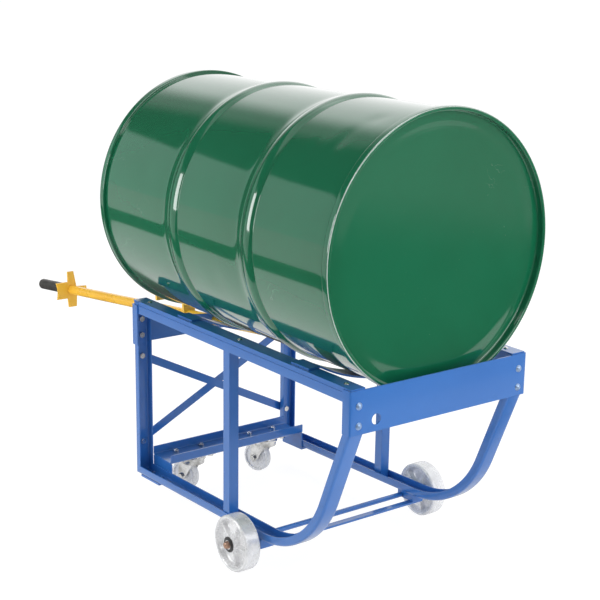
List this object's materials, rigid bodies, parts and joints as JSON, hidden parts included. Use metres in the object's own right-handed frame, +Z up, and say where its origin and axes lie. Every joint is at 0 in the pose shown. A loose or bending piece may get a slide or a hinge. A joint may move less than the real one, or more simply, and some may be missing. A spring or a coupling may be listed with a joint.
{
  "type": "rotating drum cart",
  "caption": "Wheeled steel cradle of bent channel whose curved saddles carry a drum on its side for turning, moving and pouring, with a pull-out hook lever",
  "frame": {"origin": "on the floor below the middle of the whole, in the cart's middle plane", "axes": "+X to the cart's right seen from the front plate's end looking towards the lever, +Y along the drum and cart towards the lever, +Z up"},
  "size_m": [0.6098, 1.8221, 1.0327],
  "materials": {
    "frame_paint": "satin blue paint",
    "axle_paint": "satin blue paint",
    "zinc": "zinc plated",
    "cap_metal": "dull copper-coloured push-on caps",
    "wheel_nylon": "satin moulded nylon",
    "bush": "dark moulded bush",
    "drum_paint": "glossy green paint",
    "lever_paint": "glossy orange-yellow paint",
    "grip_rubber": "matt black grip"
  },
  "bodies": {
    "frame": {"left_side_frame": "frame_paint", "right_side_frame": "frame_paint", "left_top_rail": "frame_paint", "right_top_rail": "frame_paint", "left_middle_post": "frame_paint", "right_middle_post": "frame_paint", "front_plate": "frame_paint", "rear_plate": "frame_paint", "front_saddle": "frame_paint", "rear_saddle": "frame_paint", "brace_bar_front": "frame_paint", "brace_bar_rear": "frame_paint", "brace_spacers": "zinc", "caster_channel": "frame_paint", "left_caster_bracket": "frame_paint", "right_caster_bracket": "frame_paint", "axle_tie_bar": "frame_paint", "axle_blocks": "frame_paint", "wheel_axle": "axle_paint", "axle_washers": "zinc", "axle_caps": "cap_metal", "front_plate_bolts": "zinc", "front_plate_nuts": "zinc", "rear_plate_bolts": "zinc", "rear_plate_nuts": "zinc", "brace_bolts": "zinc", "brace_nuts": "zinc", "rail_rivets": "zinc", "bracket_bolts": "zinc", "bracket_nuts": "zinc", "caster_plates": "zinc", "caster_bolts": "zinc", "caster_nuts": "zinc", "caster_kingpins": "zinc"},
    "drum": {"drum_shell": "drum_paint", "drum_rims": "drum_paint", "drum_front_head": "drum_paint", "drum_rear_head": "drum_paint", "drum_plugs": "zinc"},
    "left_front_wheel": {"left_wheel": "wheel_nylon", "left_wheel_bush": "bush"},
    "right_front_wheel": {"right_wheel": "wheel_nylon", "right_wheel_bush": "bush"},
    "left_swivel": {"left_caster_fork": "zinc", "left_caster_pin": "zinc"},
    "left_rolling_wheel": {"left_caster_wheel": "wheel_nylon"},
    "right_swivel": {"right_caster_fork": "zinc", "right_caster_pin": "zinc"},
    "right_rolling_wheel": {"right_caster_wheel": "wheel_nylon"},
    "lever": {"lever_tube": "lever_paint", "lever_hook": "lever_paint", "lever_star_plate": "lever_paint", "lever_grip": "grip_rubber"}
  },
  "joints": [
    {"name": "drum_spin", "type": "hinge", "parent": "frame", "child": "drum", "pos_m": [0, -0.45154, 0.74], "axis": [0, 1, 0], "continuous": true},
    {"name": "left_wheel_spin", "type": "hinge", "parent": "frame", "child": "left_front_wheel", "pos_m": [-0.2645, -0.56154, 0.0635], "axis": [1, 0, 0], "continuous": true},
    {"name": "right_wheel_spin", "type": "hinge", "parent": "frame", "child": "right_front_wheel", "pos_m": [0.2645, -0.56154, 0.0635], "axis": [1, 0, 0], "continuous": true},
    {"name": "left_caster_swivel", "type": "hinge", "parent": "frame", "child": "left_swivel", "pos_m": [-0.11, -0.12854, 0.085], "axis": [0, 0, 1], "continuous": true},
    {"name": "left_caster_roll", "type": "hinge", "parent": "left_swivel", "child": "left_rolling_wheel", "pos_m": [-0.11673, -0.10343, 0.0375], "axis": [0.9659, 0.2588, 0], "continuous": true},
    {"name": "right_caster_swivel", "type": "hinge", "parent": "frame", "child": "right_swivel", "pos_m": [0.11, -0.12854, 0.085], "axis": [0, 0, 1], "continuous": true},
    {"name": "right_caster_roll", "type": "hinge", "parent": "right_swivel", "child": "right_rolling_wheel", "pos_m": [0.10327, -0.10343, 0.0375], "axis": [0.9659, 0.2588, 0], "continuous": true},
    {"name": "lever_pull", "type": "slide", "parent": "frame", "child": "lever", "axis": [0, 0.994, -0.1097], "range_m": [0, 0.3]}
  ]
}
